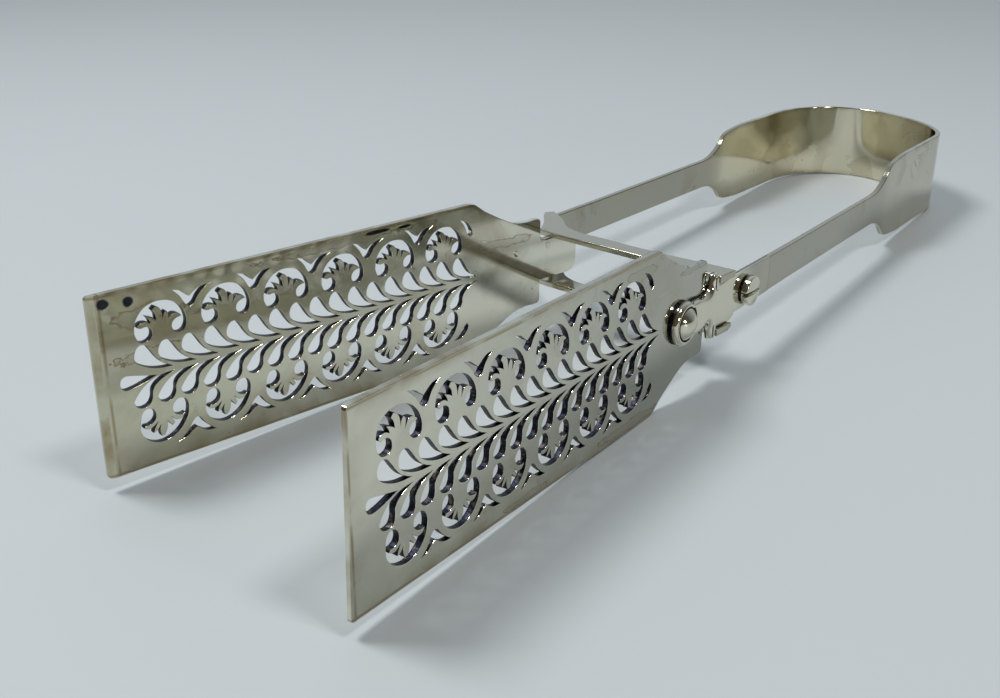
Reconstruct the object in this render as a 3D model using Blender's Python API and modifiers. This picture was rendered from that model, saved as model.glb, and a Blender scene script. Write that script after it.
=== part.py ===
"""Asparagus tongs: two pierced blades on a sprung, fiddle-shaped bow, with a guide of two straps.

The tongs lie as they rest on a table: on the rear corners of both blades and on the back of the bow.
They are drawn level first, with x running back from the blade tips to the bow, y across, z up, and the
cut necks of both blades at x = 0. The last step leans them back onto the bow and sets the origin on
the table under their middle. The left arm is the one at negative y.
"""
import math

import bmesh
import bpy
from mathutils import Matrix, Vector

# Blades
blade_length = 0.0824
blade_height = 0.032
blade_thick = 0.0012
blade_corner_radius = 0.0006
blade_shoulder_length = 0.0164
neck_height = 0.0190
neck_gap = 0.0398
splay_angle = math.radians(5.3)
tongue_length = 0.0110
tongue_height = 0.0086
tongue_corner_radius = 0.0024
tip_bevel_width = 0.0013
tip_bevel_depth = 0.0004

# Spring strip: both stems and the bow
strip_thick = 0.0013
stem_height = 0.0074
stem_front_height = 0.0078
stem_taper_x = 0.0360
left_shoulder_x = 0.0850
right_shoulder_x = 0.0874
shoulder_length = 0.0208
bow_height = 0.0204
bow_radius = 0.0241
bow_centre_x = 0.1283
bow_centre_y = 0.0143
bow_turn = math.radians(5.0)
crown_half_angle = math.radians(29.5)
bow_askew_share = 0.12
right_stem_x = 0.0368
right_stem_y = 0.0326
crank_start_x = 0.0028
crank_length = 0.0172
pad_length = 0.0100
pad_height = 0.0140
pad_corner_radius = 0.0020

# Head plate of the left arm
lobe_x = -0.0094
lobe_radius = 0.0043
waist_x = -0.0033
waist_height = 0.0066
horn_x = 0.0008
horn_length = 0.0017
horn_height = 0.0134
cheek_length = 0.0050
lap_start_x = 0.0106
lap_length = 0.0150
head_drop = 0.0004

# Guide straps
strap_thick = 0.0012
strap_spacing = 0.0100
strap_end_width = 0.0052
strap_waist_width = 0.0042
strap_horn_x = 0.0160

# Rivets and screw
shank_radius = 0.0013
boss_radius = 0.0031
boss_rise = 0.0010
boss_groove = 0.0005
boss_groove_depth = 0.0006
boss_tail_radius = 0.0020
screw_x = 0.0151
screw_radius = 0.0031
screw_rise = 0.0019
screw_dome = 0.0004
slot_width = 0.0009
slot_depth = 0.0012
slot_turn = math.radians(12)
front_rivet_x = -0.0070
rear_rivet_x = 0.0023
small_rivet_z = 0.0030
small_shank_radius = 0.0007
small_rivet_radius = 0.0012
rivet_rise = 0.0003

# Fits and finish
gap = 0.0003
edge_round = 0.0003
weld_distance = 0.000001
smooth_angle = math.radians(38)
arc_steps = 10
circle_steps = 24
dome_steps = 4
edge_steps = 2

# Shares of a rounded corner: in from the end, and down from the side
corner_shares = [(0.0, 1.0), (0.13, 0.5), (0.5, 0.13), (1.0, 0.0)]

# Rear shoulder of a blade: shares of its length, and of the drop from the blade's edge to the neck
scoop_shares = [(-0.20, 0.0), (-0.12, 0.045), (-0.07, 0.13), (0.04, 0.33), (0.14, 0.47), (0.24, 0.605),
                (0.41, 0.82), (0.50, 0.92), (0.60, 0.99), (0.76, 1.03), (0.90, 1.01), (0.97, 1.03), (1.0, 1.10)]

# Fiddle shoulder of the bow: shares of its length, and of the rise from the stem to the bow
fiddle_shares = [(0.0, 0.0), (0.15, 0.06), (0.27, 0.19), (0.38, 0.385), (0.46, 0.63), (0.54, 0.82),
                 (0.66, 0.90), (0.80, 0.95), (1.0, 1.0)]

# The piercing is drawn on squared paper, 103 squares long and 40 high. Squares are counted back from
# the tip of the blade, and up from its centre line.
grid_columns = 103
grid_rows = 40
leaf_squares = [(0.0, 4.8), (0.3, 6.2), (1.2, 7.1), (2.4, 6.9), (3.5, 5.6), (4.6, 3.9), (6.1, 2.2),
                (8.3, 1.0), (5.9, 1.2), (3.6, 1.8), (1.6, 2.8), (0.4, 3.8)]
low_leaf_squares = [(0.0, 4.7), (0.9, 3.3), (2.4, 1.8), (4.4, 0.7), (6.6, 0.2), (9.0, 0.1), (7.0, 0.8),
                    (5.3, 1.7), (4.3, 2.9), (4.1, 4.7), (3.4, 6.0), (2.0, 6.4), (0.7, 5.9)]
first_leaf = 7.4
first_low_leaf = 6.9
leaf_pitch = 5.33
leaf_count = 17
front_leaf_squares = [(0.0, 0.1), (0.3, 1.1), (1.3, 1.5), (3.3, 1.1), (5.6, 0.5), (7.8, 0.0), (5.6, -0.7),
                      (3.3, -1.3), (1.3, -1.5), (0.3, -0.9)]
front_leaf = 4.1
scroll_squares = [(-5.5, 9.7), (-5.7, 11.2), (-5.1, 13.1), (-3.6, 14.8), (-1.3, 15.8), (1.3, 15.7),
                  (3.5, 14.7), (5.1, 12.8), (5.7, 10.8), (5.4, 9.2), (4.6, 8.3), (3.5, 8.1), (2.4, 8.8),
                  (2.2, 10.0), (2.7, 11.1), (3.7, 11.6), (2.9, 12.1), (3.3, 12.8), (2.0, 12.6),
                  (2.2, 13.7), (0.6, 13.2), (0.0, 14.9), (-0.9, 14.7), (-0.8, 13.2), (-2.3, 13.5),
                  (-2.2, 12.6), (-3.7, 12.5), (-3.1, 11.7), (-2.3, 10.9), (-2.1, 9.7), (-2.7, 8.6),
                  (-3.8, 8.1), (-4.8, 8.5)]
low_scroll_squares = [(-5.3, 9.8), (-5.2, 11.6), (-4.3, 13.2), (-2.6, 14.5), (-0.4, 15.2), (1.8, 14.8),
                      (3.8, 13.5), (5.2, 11.6), (5.7, 9.6), (5.4, 8.0), (4.4, 7.0), (3.1, 7.0), (2.2, 8.0),
                      (2.3, 9.3), (3.2, 10.2), (1.9, 10.7), (1.9, 12.0), (0.7, 11.5), (-0.2, 13.2),
                      (-0.9, 11.8), (-2.1, 12.1), (-2.0, 10.9), (-3.0, 10.6), (-2.1, 9.8), (-1.9, 8.6),
                      (-2.6, 7.4), (-3.8, 7.1), (-4.9, 7.9)]
first_scroll = 13.4
scroll_pitch = 15.2
scroll_count = 6
bird_squares = [(-4.0, 17.4), (-2.4, 16.9), (-1.1, 15.9), (-0.2, 15.2), (1.2, 16.2), (2.6, 16.8), (4.3, 16.9),
                (3.0, 16.2), (1.8, 15.1), (0.9, 13.7), (-0.1, 13.1), (-1.1, 13.8), (-2.3, 15.7)]
low_bird_squares = [(-4.3, 16.3), (-2.6, 15.8), (-1.2, 14.8), (-0.1, 14.3), (1.0, 15.2), (2.4, 16.0),
                    (4.2, 16.2), (3.0, 15.3), (1.7, 14.0), (0.7, 12.6), (-0.2, 12.1), (-1.2, 13.0),
                    (-2.5, 14.9)]
first_bird = 20.3
first_low_bird = 21.2
comma_squares = [(-0.6, 16.4), (1.3, 15.7), (2.8, 14.0), (3.4, 12.4), (2.6, 11.8), (1.6, 12.9), (0.7, 14.8)]
low_comma_squares = [(-0.9, 14.7), (0.8, 13.6), (2.0, 12.0), (3.0, 11.0), (3.6, 11.8), (3.0, 13.2), (1.4, 14.5)]
comma = 95.3
slant_shares = {-1: -0.05, 1: 0.07}
hand_wander = 0.12

half_blade = blade_height / 2
tip_x = -(blade_length + blade_shoulder_length)
inner_y = neck_gap / 2
head_inset = blade_thick + gap
strip_inset = head_inset + strip_thick / 2
head_outset = head_inset + strip_thick
lap_end_x = lap_start_x + lap_length
horn_back_x = horn_x + horn_length
strap_front_x = horn_back_x + gap
cheek_height = strap_spacing - 2 * gap
bow_centre = Vector((bow_centre_x, bow_centre_y))
cut_angle = 1.2 * gap / 2 / bow_radius
crank_outward = Vector((-0.5, 0.87))
left, right = -1, 1

model = bpy.data.collections.new("asparagus_tongs")
cutters = bpy.data.collections.new("cutters")


def clear_scene():
    for item in list(bpy.data.objects):
        bpy.data.objects.remove(item, do_unlink=True)
    for group in (model, cutters):
        bpy.context.scene.collection.children.link(group)


def silver(name, colour, roughness):
    """Silver plate with the tone and polish one piece shows."""
    finish = bpy.data.materials.new(name)
    finish.use_nodes = True
    shader = finish.node_tree.nodes["Principled BSDF"]
    shader.inputs["Base Color"].default_value = (*colour, 1)
    shader.inputs["Metallic"].default_value = 1
    shader.inputs["Roughness"].default_value = roughness
    return finish


# Frames

def arm_frame(side, outset):
    """Frame in the plane of one blade: local x runs back along it and local y is up.

    The outset is measured outward from the inner face of the blade.
    """
    along = Vector((math.cos(splay_angle), -side * math.sin(splay_angle), 0))
    outward = Vector((math.sin(splay_angle), side * math.cos(splay_angle), 0))
    up = Vector((0, 0, 1))
    frame = Matrix((along, up, along.cross(up))).transposed().to_4x4()
    frame.translation = Vector((0, side * inner_y, 0)) + outward * outset
    return frame


def arm_point(side, along, outset):
    """A point of the level plan, given along one blade and outward from its inner face."""
    return (arm_frame(side, outset) @ Vector((along, 0, 0))).xy


def facing(side, along, up, outset):
    """Frame on one blade whose local z points outward."""
    place = arm_frame(side, outset) @ Matrix.Translation((along, up, 0))
    return place if side == left else place @ Matrix.Rotation(math.pi, 4, "Y")


# Solids

def drawn_flat(name, outlines, thick, frame, group=model):
    """A plate of even thickness from its outline and the outlines of its holes."""
    curve = bpy.data.curves.new(name, "CURVE")
    curve.dimensions = "2D"
    curve.fill_mode = "BOTH"
    curve.extrude = thick / 2
    for outline in outlines:
        spline = curve.splines.new("POLY")
        spline.points.add(len(outline) - 1)
        for point, place in zip(spline.points, outline):
            point.co = (place[0], place[1], 0, 1)
        spline.use_cyclic_u = True
    sketch = bpy.data.objects.new(name + "_sketch", curve)
    group.objects.link(sketch)
    sketch.matrix_world = frame
    bpy.context.view_layer.update()
    solid = bpy.data.objects.new(name, evaluated_mesh(sketch))
    group.objects.link(solid)
    solid.matrix_world = frame
    bpy.data.objects.remove(sketch, do_unlink=True)
    return solid


def evaluated_mesh(item):
    """The mesh a piece has after its modifiers, welded shut and facing outward."""
    seen = item.evaluated_get(bpy.context.evaluated_depsgraph_get())
    mesh = bpy.data.meshes.new_from_object(seen)
    work = bmesh.new()
    work.from_mesh(mesh)
    bmesh.ops.remove_doubles(work, verts=work.verts, dist=weld_distance)
    bmesh.ops.recalc_face_normals(work, faces=work.faces)
    work.to_mesh(mesh)
    work.free()
    return mesh


def settle(item):
    """Keep what the modifiers of a piece have made of it."""
    bpy.context.view_layer.update()
    mesh = evaluated_mesh(item)
    item.modifiers.clear()
    item.data = mesh


def carve(target, cutter, operation="DIFFERENCE"):
    """Cut a piece, or keep only what lies inside the cutter."""
    step = target.modifiers.new(cutter.name, "BOOLEAN")
    step.operation = operation
    step.solver = "EXACT"
    step.object = cutter
    settle(target)
    cutter.hide_render = True
    cutter.display_type = "WIRE"
    bpy.data.objects.remove(cutter, do_unlink=True)


def block(name, size, frame):
    mesh = bpy.data.meshes.new(name)
    work = bmesh.new()
    bmesh.ops.create_cube(work, size=1, matrix=Matrix.Diagonal((*size, 1)))
    work.to_mesh(mesh)
    work.free()
    item = bpy.data.objects.new(name, mesh)
    cutters.objects.link(item)
    item.matrix_world = frame
    return item


def turned(name, profile, frame, group=model):
    """A solid turned about local z from the (radius, height) points of its profile, top first."""
    mesh = bpy.data.meshes.new(name)
    work = bmesh.new()
    points = [work.verts.new((radius, 0, height)) for radius, height in profile]
    for start, end in zip(points, points[1:]):
        work.edges.new((start, end))
    work.to_mesh(mesh)
    work.free()
    item = bpy.data.objects.new(name, mesh)
    group.objects.link(item)
    item.matrix_world = frame
    turn = item.modifiers.new("turn", "SCREW")
    turn.steps = circle_steps
    turn.render_steps = circle_steps
    turn.use_merge_vertices = True
    turn.merge_threshold = weld_distance
    settle(item)
    return item


def rod(name, radius, low, high, frame):
    """A plain round cutter."""
    return turned(name, [(0, high), (radius, high), (radius, low), (0, low)], frame, cutters)


def round_edges(item, width, steps=edge_steps):
    soft = item.modifiers.new("soft edges", "BEVEL")
    soft.width = width
    soft.segments = steps
    soft.limit_method = "ANGLE"
    soft.angle_limit = smooth_angle
    settle(item)


# Outlines

def circle(x, y, radius):
    return [(x + radius * math.cos(math.tau * k / circle_steps), y + radius * math.sin(math.tau * k / circle_steps))
            for k in range(circle_steps)]


def both_halves(top):
    """An upper half outline, walked back along its mirror image."""
    return top + [(x, -y) for x, y in reversed(top)]


def dome(radius, base, rise):
    """Profile of a low dome, from its top to its rim."""
    points = []
    for k in range(dome_steps + 1):
        share = k / dome_steps
        points.append((radius * math.sin(share * math.pi / 2), base + rise * math.cos(share * math.pi / 2)))
    return points


def band(line, thick):
    """Outline of a strip that follows a line seen from above."""
    near = []
    far = []
    for k, point in enumerate(line):
        ahead = line[min(k + 1, len(line) - 1)] - line[max(k - 1, 0)]
        across = Vector((-ahead.y, ahead.x)).normalized() * thick / 2
        near.append(tuple(point - across))
        far.append(tuple(point + across))
    return near + far[::-1]


def bow_point(angle):
    """The bow is round where the stems run into it, and bent a little askew between them."""
    off = max(-math.pi / 2, min(math.pi / 2, angle - bow_turn))
    reach = bow_radius * (1 + bow_askew_share * math.sin(2 * off) * math.cos(off))
    return bow_centre + reach * Vector((math.cos(angle), math.sin(angle)))


def bow_arc(start, end):
    return [bow_point(start + (end - start) * k / arc_steps) for k in range(arc_steps + 1)]


def stem_angle(side, start):
    """Where on the bow a straight stem from this point runs into it."""
    reach = bow_centre - start
    heading = math.atan2(reach.y, reach.x) + side * math.asin(bow_radius / reach.length)
    return heading + side * math.pi / 2


def blade_outline():
    """Blade, scooped shoulders, flared neck, and the tongue that lies between the straps."""
    drop = half_blade - neck_height / 2
    half_tongue = tongue_height / 2
    top = [(tip_x + blade_corner_radius * a, half_blade - blade_corner_radius * b) for a, b in corner_shares]
    top += [(blade_shoulder_length * (a - 1), half_blade - drop * b) for a, b in scoop_shares]
    top.append((0, half_tongue))
    top += [(tongue_length - tongue_corner_radius * a, half_tongue - tongue_corner_radius * b)
            for a, b in reversed(corner_shares)]
    return both_halves(top)


def opening(squares, start, side, upper, shift=0.0):
    """One opening of the piercing, drawn upward, or downward in the lower half."""
    square_long = blade_length / grid_columns
    square_high = blade_height / grid_rows
    turn = 1 if upper else -1
    slant = turn * slant_shares[side]
    return [(tip_x + (start + x + slant * y) * square_long, turn * (y + shift) * square_high)
            for x, y in squares]


def wander(count):
    """Sawn by hand: no two openings of a row sit quite level."""
    return hand_wander * math.sin(count * count + count)


def piercing(side):
    """The openings of one blade: a row of leaves either side of a vein, between two rows of scrolls."""
    holes = [opening(front_leaf_squares, front_leaf, side, True)]
    for upper, leaf, first in ((True, leaf_squares, first_leaf), (False, low_leaf_squares, first_low_leaf)):
        for k in range(leaf_count):
            holes.append(opening(leaf, first + k * leaf_pitch, side, upper, wander(k + upper)))
    for upper, scroll in ((True, scroll_squares), (False, low_scroll_squares)):
        for k in range(scroll_count):
            holes.append(opening(scroll, first_scroll + k * scroll_pitch, side, upper, wander(k + 2 + upper)))
    for upper, bird, first in ((True, bird_squares, first_bird), (False, low_bird_squares, first_low_bird)):
        for k in range(scroll_count - 1):
            holes.append(opening(bird, first + k * scroll_pitch, side, upper, wander(k + 4 + upper)))
    holes.append(opening(comma_squares, comma, side, True))
    holes.append(opening(low_comma_squares, comma, side, False))
    return holes


def stem_heights(start, front, shoulder_x):
    """Upper side outline of a stem and its half of the bow, from the given front end."""
    half_stem = stem_height / 2
    rise = bow_height / 2 - half_stem
    end_x = bow_centre_x + (1 + bow_askew_share) * bow_radius + strip_thick
    top = front + [(start, stem_front_height / 2), (stem_taper_x, half_stem)]
    top += [(shoulder_x + shoulder_length * a, half_stem + rise * b) for a, b in fiddle_shares]
    return top + [(end_x, bow_height / 2)]


# Pieces

def make_blade(name, side, rivets):
    holes = piercing(side) + [circle(x, z, radius + gap) for x, z, radius in rivets]
    plate = drawn_flat(name, [blade_outline(), *holes], blade_thick, arm_frame(side, blade_thick / 2))
    slope = math.atan2(tip_bevel_depth, tip_bevel_width)
    size = (4 * tip_bevel_width, 2 * blade_height, 2 * blade_thick)
    edge = Matrix.Translation((tip_x, 0, side * (blade_thick / 2 - tip_bevel_depth)))
    aside = Matrix.Translation((0, 0, side * blade_thick))
    turn = Matrix.Rotation(-side * slope, 4, "Y")
    carve(plate, block("tip_cut", size, arm_frame(side, blade_thick / 2) @ edge @ turn @ aside))
    return plate


def make_strip(name, line, top):
    """A strip bent along a line seen from above and cut to an outline seen from the side."""
    strip = drawn_flat(name, [band(line, strip_thick)], 2 * bow_height, Matrix())
    side_view = Matrix.Translation((0, bow_centre_y, 0)) @ Matrix.Rotation(math.pi / 2, 4, "X")
    mask = drawn_flat(name + "_mask", [both_halves(top)], 4 * neck_gap, side_view, cutters)
    carve(strip, mask, "INTERSECT")
    return strip


def make_left_strip():
    start = arm_point(left, lap_start_x, strip_inset)
    into_bow = stem_angle(left, start)
    line = [start, *bow_arc(into_bow, bow_turn - crown_half_angle - cut_angle)]
    strip = make_strip("left_arm_strip", line, stem_heights(lap_start_x - gap, [], left_shoulder_x))
    half_thick = strip_thick / 2
    lap_cut = 2 * lap_length
    place = arm_frame(left, strip_inset + half_thick - gap / 2)
    middle = Matrix.Translation((lap_end_x + gap - lap_cut / 2, 0, 0))
    carve(strip, block("lap_cut", (lap_cut, 2 * stem_front_height, strip_thick), place @ middle))
    carve(strip, rod("screw_hole", shank_radius + gap, 0, 2 * head_outset, facing(left, screw_x, 0, 0)))
    return strip


def make_head_plate():
    """Keyhole plate on the outer face of the left blade.

    Lobe and waist spread into a horn in front of the straps, and cheeks between them, and end in the
    outer half of the lap. All but the lap sits a little below the middle of the blade.
    """
    half_front = stem_front_height / 2
    half_waist = waist_height / 2
    half_horn = horn_height / 2
    half_cheek = cheek_height / 2
    top = [(lobe_x - lobe_radius * math.cos(k * math.pi / arc_steps),
            lobe_radius * math.sin(k * math.pi / arc_steps), 1) for k in range(1, arc_steps - 2)]
    top += [(horn_x + (horn_x - waist_x) * a, half_waist + (half_horn - half_waist) * b, 1) for a, b in
            [(-1.25, 0.03), (-0.75, 0.0), (-0.35, 0.06), (-0.10, 0.28), (0.0, 0.70), (0.08, 0.93), (0.2, 1.0)]]
    top += [(horn_back_x, half_horn, 1), (horn_back_x, half_cheek, 1)]
    top += [(horn_back_x + cheek_length + (lap_start_x - horn_back_x - cheek_length) * a,
             half_front + (half_cheek - half_front) * b, b) for a, b in
            [(0.0, 1.0), (0.3, 0.90), (0.6, 0.55), (0.8, 0.2), (1.0, 0.0)]]
    slim = (half_front - stem_height / 2) * (lap_end_x - lap_start_x) / (stem_taper_x - lap_start_x)
    top.append((lap_end_x, half_front - slim, 0))
    upper = [(x, z - head_drop * share) for x, z, share in top]
    lower = [(x, -z - head_drop * share) for x, z, share in reversed(top)]
    outline = [(lobe_x - lobe_radius, -head_drop), *upper, *lower]
    holes = [circle(lobe_x, -head_drop, shank_radius + gap), circle(screw_x, 0, shank_radius + gap)]
    plate = drawn_flat("left_head_plate", [outline, *holes], strip_thick, arm_frame(left, strip_inset))
    size = (2 * lap_length, 2 * stem_front_height, strip_thick)
    place = arm_frame(left, strip_inset - strip_thick / 2 + gap / 2)
    middle = Matrix.Translation((lap_start_x - gap + lap_length, 0, 0))
    carve(plate, block("lap_cut", size, place @ middle))
    low, high = head_outset - boss_groove_depth, 2 * head_outset
    inner, outer = boss_radius, boss_radius + boss_groove
    loop = [(inner, high), (outer, high), (outer, low), (inner, low), (inner, high)]
    carve(plate, turned("groove_cut", loop, facing(left, lobe_x, -head_drop, 0), cutters))
    return plate


def right_line():
    """The right strip seen from above: pad on the blade, crank, and straight stem."""
    corner = Vector((right_stem_x, right_stem_y))
    into_bow = stem_angle(right, corner)
    slope = math.tan(into_bow - math.pi / 2)
    pad_start = arm_point(right, -pad_length, strip_inset)
    line = [pad_start]
    for k in range(arc_steps + 1):
        x = crank_start_x + crank_length * k / arc_steps
        share = (k / arc_steps) ** 2 * (3 - 2 * k / arc_steps)
        front = pad_start.y - (x - pad_start.x) * math.tan(splay_angle)
        back = corner.y + (x - corner.x) * slope
        line.append(Vector((x, front + (back - front) * share)))
    return line, into_bow


def make_right_strip():
    line, into_bow = right_line()
    line += bow_arc(into_bow, bow_turn + crown_half_angle + cut_angle)
    half_pad = pad_height / 2
    front = [(-pad_length + pad_corner_radius * a, half_pad - pad_corner_radius * b) for a, b in corner_shares]
    front += [(-pad_corner_radius * (a + 0.3), half_pad - (half_pad - stem_front_height / 2) * b)
              for a, b in [(1.0, 0.0), (0.5, 0.13), (0.13, 0.5), (0.0, 1.0)]]
    strip = make_strip("right_arm_strip", line, stem_heights(lap_start_x, front, right_shoulder_x))
    for x in (front_rivet_x, rear_rivet_x):
        place = facing(right, x, small_rivet_z, 0)
        carve(strip, rod("rivet_hole", small_shank_radius + gap, 0, 2 * head_outset, place))
    return strip


def make_crown():
    arc = bow_arc(bow_turn - crown_half_angle + cut_angle, bow_turn + crown_half_angle - cut_angle)
    return drawn_flat("bow_crown", [band(arc, strip_thick)], bow_height, Matrix())


def strap_outline():
    """A guide strap seen from above: narrow waist, and a horn laid along the crank of the right arm."""
    line, _ = right_line()
    near_y = -(inner_y + head_outset)
    front_near = (strap_front_x, near_y)
    front_far = (strap_front_x, inner_y)
    outer = [point + crank_outward * strip_thick / 2 for point in line[2:-2] if point.x < strap_horn_x]
    back_shares = [(0.93, 1.0, 0.0), (0.62, 0.55, 0.0), (0.30, 0.12, 0.0), (0.0, 0.0, 0.0), (-0.20, 0.02, 0.0),
                   (-0.48, 0.16, 0.0), (-0.72, 0.05, 0.0), (-0.86, 0.18, 0.05), (-1.0, 0.5, 0.16),
                   (-1.13, 0.5, 0.42), (-1.27, 0.5, 0.66)]
    reach = strap_horn_x - strap_front_x - strap_waist_width
    back = [(strap_front_x + strap_waist_width + (strap_end_width - strap_waist_width) * wide + reach * far,
             -inner_y * across) for across, wide, far in back_shares]
    tip = (strap_horn_x, outer[-1].y - strip_thick / 4)
    end = (strap_front_x + strap_end_width, near_y)
    return [front_near, end, *back, tip, *[tuple(point) for point in reversed(outer)], front_far]


def make_strap(name, turn):
    height = turn * (strap_spacing + strap_thick) / 2 - head_drop
    return drawn_flat(name, [strap_outline()], strap_thick, Matrix.Translation((0, 0, height)))


def make_boss():
    top = head_outset + gap
    profile = dome(boss_radius, top, boss_rise)
    profile += [(shank_radius, top), (shank_radius, -gap), (boss_tail_radius, -gap)]
    profile += [(boss_tail_radius - rivet_rise, -gap - rivet_rise), (0, -gap - rivet_rise)]
    return turned("left_boss_rivet", profile, facing(left, lobe_x, -head_drop, 0))


def make_screw():
    top = head_outset + gap
    profile = dome(screw_radius, top + screw_rise, screw_dome)
    profile += [(screw_radius, top), (shank_radius, top), (shank_radius, head_inset), (0, head_inset)]
    screw = turned("left_screw", profile, facing(left, screw_x, 0, 0))
    size = (4 * screw_radius, slot_width, 2 * slot_depth)
    place = facing(left, screw_x, 0, top + screw_rise + screw_dome)
    carve(screw, block("slot_cut", size, place @ Matrix.Rotation(slot_turn, 4, "Z")))
    return screw


def make_small_rivet(name, x):
    """A pin filed flush with the inner face of the right blade, and headed over on the strip."""
    top = head_outset + gap
    profile = dome(small_rivet_radius, top, rivet_rise)
    profile += [(small_shank_radius, top), (small_shank_radius, 0), (0, 0)]
    return turned(name, profile, facing(right, x, small_rivet_z, 0))


def build():
    clear_scene()
    plate = silver("strip_silver", (0.60, 0.57, 0.50), 0.24)
    left_plate = silver("left_blade_silver", (0.62, 0.60, 0.53), 0.26)
    right_plate = silver("right_blade_silver", (0.52, 0.47, 0.40), 0.20)
    bright = silver("head_silver", (0.68, 0.65, 0.57), 0.20)
    guide = silver("guide_silver", (0.64, 0.62, 0.55), 0.24)
    small = silver("rivet_silver", (0.70, 0.67, 0.58), 0.22)

    boss_hole = [(lobe_x, -head_drop, shank_radius)]
    small_holes = [(x, small_rivet_z, small_shank_radius) for x in (front_rivet_x, rear_rivet_x)]
    crown = make_crown()
    left_arm = [(make_left_strip(), plate), (make_head_plate(), bright),
                (make_blade("left_blade", left, boss_hole), left_plate), (make_boss(), small),
                (make_screw(), small)]
    right_arm = [(make_right_strip(), plate), (make_blade("right_blade", right, small_holes), right_plate),
                 (make_small_rivet("right_front_rivet", front_rivet_x), small),
                 (make_small_rivet("right_rear_rivet", rear_rivet_x), small),
                 (make_strap("guide_upper_strap", 1), guide), (make_strap("guide_lower_strap", -1), guide)]

    for item in (crown, left_arm[0][0], right_arm[0][0]):
        round_edges(item, edge_round)
    for item, finish in [(crown, plate), *left_arm, *right_arm]:
        item.data.materials.clear()
        item.data.materials.append(finish)
        item.data.shade_smooth()
        item.data.set_sharp_from_angle(angle=smooth_angle)
    rest_on_table(crown, left_arm, right_arm)


def rest_on_table(crown, left_arm, right_arm):
    """Hang each arm on its bending line in the bow, then lean the tongs back onto the table."""
    corner_x = blade_shoulder_length * (scoop_shares[0][0] - 1)
    back = bow_arc(bow_turn - crown_half_angle, bow_turn + crown_half_angle)
    back_x = max(point.x for point in back) + strip_thick / 2
    lean = math.atan2(half_blade - bow_height / 2, back_x - corner_x)
    tilt = Matrix.Rotation(lean, 4, "Y")
    bpy.context.view_layer.update()
    solids = [crown, *[item for item, _ in left_arm + right_arm]]
    points = [tilt @ item.matrix_world @ vertex.co for item in solids for vertex in item.data.vertices]
    low = Vector([min(point[axis] for point in points) for axis in range(3)])
    high = Vector([max(point[axis] for point in points) for axis in range(3)])
    settle_down = Matrix.Translation((-(low.x + high.x) / 2, -(low.y + high.y) / 2, -low.z)) @ tilt
    for side, name, pieces in ((left, "left_arm", left_arm), (right, "right_arm", right_arm)):
        hinge = bpy.data.objects.new(name, None)
        model.objects.link(hinge)
        line = bow_point(bow_turn + side * crown_half_angle)
        hinge.matrix_world = Matrix.Translation((line.x, line.y, 0))
        for item, _ in pieces:
            item.parent = hinge
            item.matrix_parent_inverse = hinge.matrix_world.inverted()
        hinge.matrix_world = settle_down @ hinge.matrix_world
    crown.matrix_world = settle_down @ crown.matrix_world


build()
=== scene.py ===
"""Looks of the asparagus tongs: silver plate, worn and toned, on a pale table in soft window light.

Shapes are drawn level, as in the part: x runs from the blade tips to the bow, with the blades' necks at
x = 0, y runs across and z up. PLACE then leans them back onto the table. Lengths are in metres.
"""
import math

import bmesh
import bpy
from mathutils import Matrix, Vector


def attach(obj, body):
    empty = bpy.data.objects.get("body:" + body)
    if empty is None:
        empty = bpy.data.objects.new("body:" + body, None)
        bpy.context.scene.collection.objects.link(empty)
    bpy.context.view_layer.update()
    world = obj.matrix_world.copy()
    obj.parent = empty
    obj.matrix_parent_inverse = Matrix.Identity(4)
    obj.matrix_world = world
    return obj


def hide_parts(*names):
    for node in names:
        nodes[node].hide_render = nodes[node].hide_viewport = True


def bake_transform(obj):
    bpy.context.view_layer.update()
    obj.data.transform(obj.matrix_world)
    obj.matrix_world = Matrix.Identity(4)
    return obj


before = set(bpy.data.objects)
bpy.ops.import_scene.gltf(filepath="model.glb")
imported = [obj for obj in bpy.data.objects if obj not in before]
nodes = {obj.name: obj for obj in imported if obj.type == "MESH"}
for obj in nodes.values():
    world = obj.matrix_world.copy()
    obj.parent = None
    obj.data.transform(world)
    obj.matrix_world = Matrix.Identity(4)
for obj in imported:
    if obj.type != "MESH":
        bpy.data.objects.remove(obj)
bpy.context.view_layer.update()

LEFT, RIGHT = -1, 1

# How the level drawing stands on the table
LEAN = math.radians(1.92164)
PLACE = Matrix.Translation((-0.027318, -0.004451, 0.015338)) @ Matrix.Rotation(LEAN, 4, "Y")

# Blades. The tips are cut at a small turn, and their bevel in two cuts: shares of its slope and width
SPLAY = math.radians(5.3)
NECK_GAP = 0.0398
INNER_Y = NECK_GAP / 2
BLADE_THICK = 0.0012
BLADE_HALF_HEIGHT = 0.0160
BLADE_TIP_X = -0.0988
TIP_SHIFT = {LEFT: -0.0001, RIGHT: -0.0006}
TIP_SLANT = {LEFT: 0.028, RIGHT: 0.0}
TIP_REACH = 0.0030
TIP_BEVEL_WIDTH, TIP_BEVEL_DEPTH = 0.0013, 0.0004
TIP_BEVEL_CUTS = [(1.0, 1.0), (2.4, 0.45)]

# Spring strip
STRIP_THICK = 0.0013
STEM_HEIGHT = 0.0074
STEM_FRONT_HEIGHT = 0.0078
STEM_TAPER_X = 0.0360
SHOULDER_X = {LEFT: 0.0850, RIGHT: 0.0874}
SHOULDER_LENGTH = 0.0208
BOW_HEIGHT = 0.0204
BOW_RADIUS = 0.0241
BOW_CENTRE = Vector((0.1283, 0.0143))
BOW_TURN = math.radians(5.0)
BOW_ASKEW = 0.12
RIGHT_STEM = Vector((0.0368, 0.0326))
CRANK_X, CRANK_LENGTH = 0.0028, 0.0172
PAD_LENGTH, PAD_HEIGHT, PAD_CORNER = 0.0100, 0.0140, 0.0020
PAD_FALL, PAD_FOOT = 1.3 * PAD_CORNER, 0.3 * PAD_CORNER

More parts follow.
